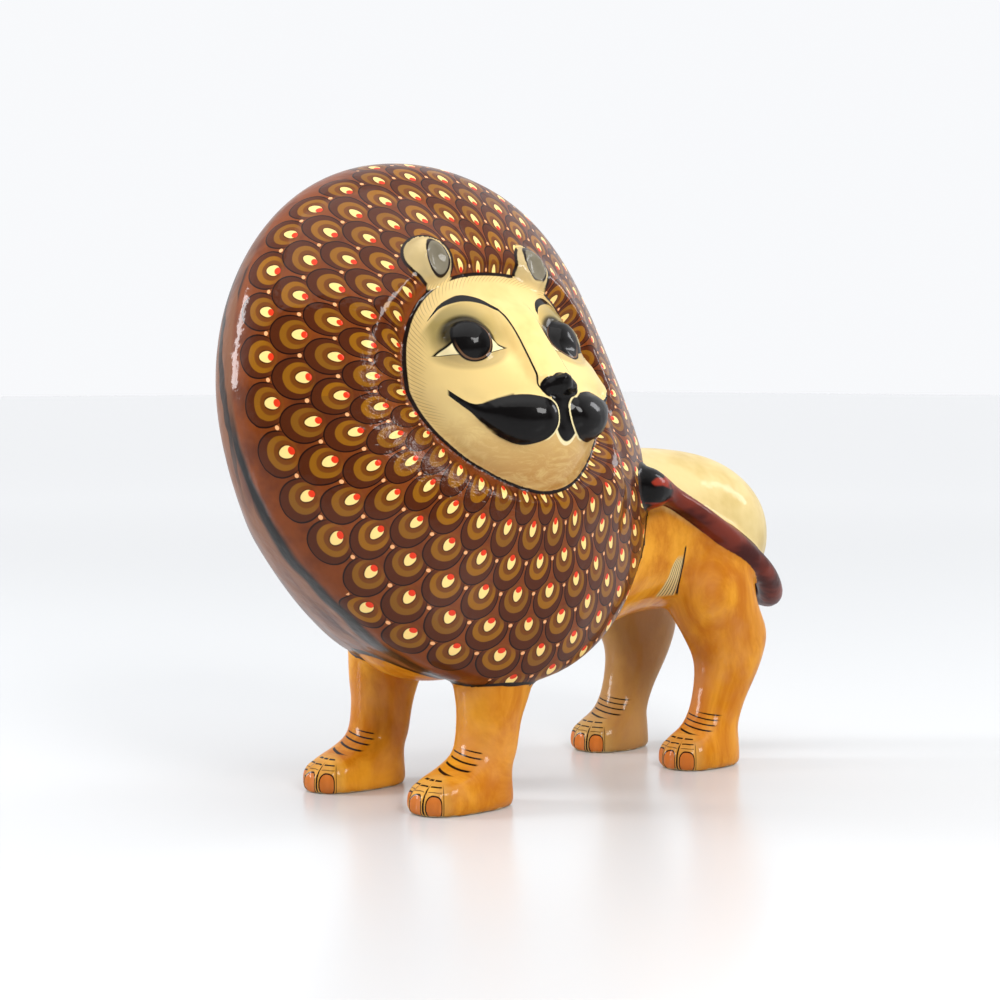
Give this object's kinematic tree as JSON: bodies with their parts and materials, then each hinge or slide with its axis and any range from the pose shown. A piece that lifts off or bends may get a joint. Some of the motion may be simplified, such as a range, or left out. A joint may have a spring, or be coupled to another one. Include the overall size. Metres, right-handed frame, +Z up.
{
  "type": "papier-mache lion figure",
  "caption": "Standing papier-mache lion with a large domed mane turned to its left, a raised muzzle and a tail laid along its flank.",
  "frame": {"origin": "on the floor, under the middle of the figure's bounding box", "axes": "+Z up, -Y the way the lion walks, +X its left, where its face looks"},
  "size_m": [0.302, 0.6244, 0.563],
  "materials": {
    "painted_shell": "painted, glossy varnish"
  },
  "bodies": {
    "root": {"lion": "painted_shell"}
  },
  "joints": []
}
